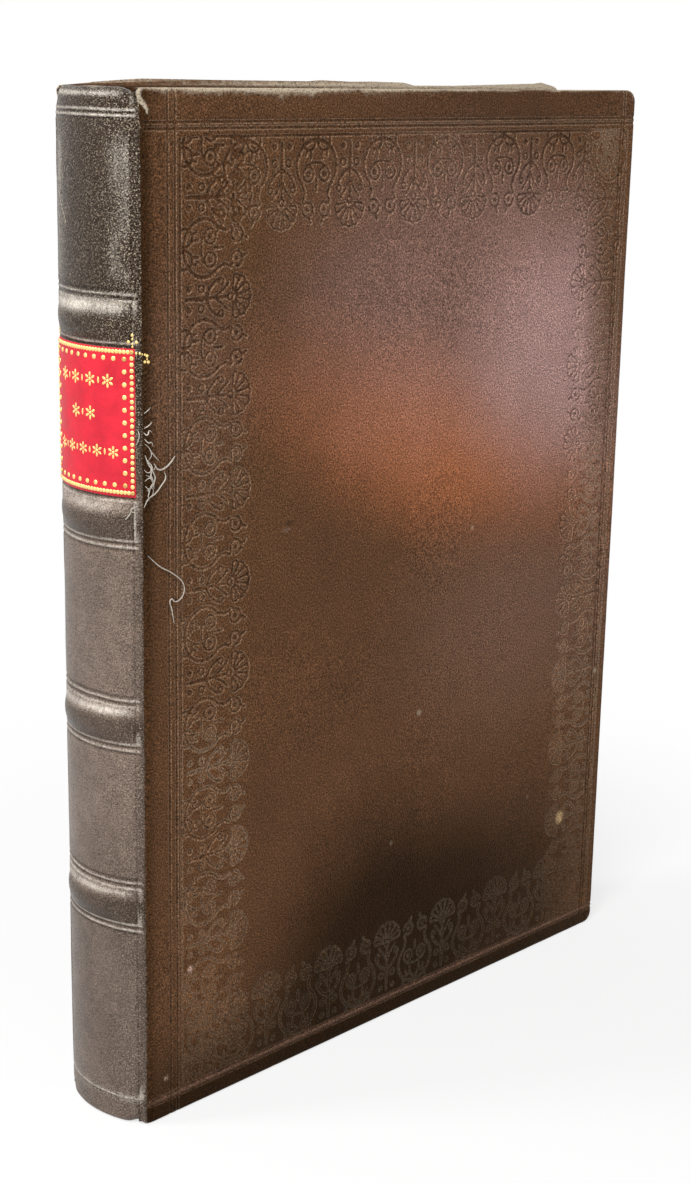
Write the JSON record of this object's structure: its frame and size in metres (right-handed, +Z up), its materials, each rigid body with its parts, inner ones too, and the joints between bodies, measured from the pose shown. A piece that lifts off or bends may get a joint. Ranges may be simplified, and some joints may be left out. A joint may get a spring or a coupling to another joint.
{
  "type": "antique leather book",
  "caption": "Old book in dark full leather, standing on its tail, with raised spine bands, a red spine label, blind-tooled covers and covers that swing open at tight joints.",
  "frame": {"origin": "centre of the overall box at its base, where the book stands on its tail edge", "axes": "+Z up from tail to head, +X from the spine to the fore-edge, +Y through the thickness from the front cover to the back cover"},
  "size_m": [0.1711, 0.0274, 0.231],
  "materials": {
    "page_paper": "aged laid paper, edges toned and dusty",
    "lining_paper": "brown lining paper",
    "endband_silk": "worked silk, faded",
    "hemp_cord": "hemp cord",
    "spine_leather": "dark handled leather, polished on the bands",
    "label_leather": "red skiver with gilt lines and dots",
    "millboard": "millboard",
    "cover_leather": "dark brown grained leather, blind tooled and worn",
    "endpaper": "plain aged endpaper"
  },
  "bodies": {
    "book_block": {"text_block": "page_paper", "spine_linings": "lining_paper", "headband": "endband_silk", "tailband": "endband_silk", "sewing_cord_1": "hemp_cord", "sewing_cord_2": "hemp_cord", "sewing_cord_3": "hemp_cord", "sewing_cord_4": "hemp_cord", "spine_leather": "spine_leather", "title_label": "label_leather"},
    "front_cover": {"front_board": "millboard", "front_slips": "hemp_cord", "front_leather": "cover_leather", "front_pastedown": "endpaper"},
    "back_cover": {"back_board": "millboard", "back_slips": "hemp_cord", "back_leather": "cover_leather", "back_pastedown": "endpaper"}
  },
  "joints": [
    {"name": "front_hinge", "type": "hinge", "parent": "book_block", "child": "front_cover", "pos_m": [-0.07945, -0.01375, 0], "axis": [0, 0, -1], "range_deg": [0, 170]},
    {"name": "back_hinge", "type": "hinge", "parent": "book_block", "child": "back_cover", "pos_m": [-0.07945, 0.01375, 0], "axis": [0, 0, 1], "range_deg": [0, 170]}
  ]
}
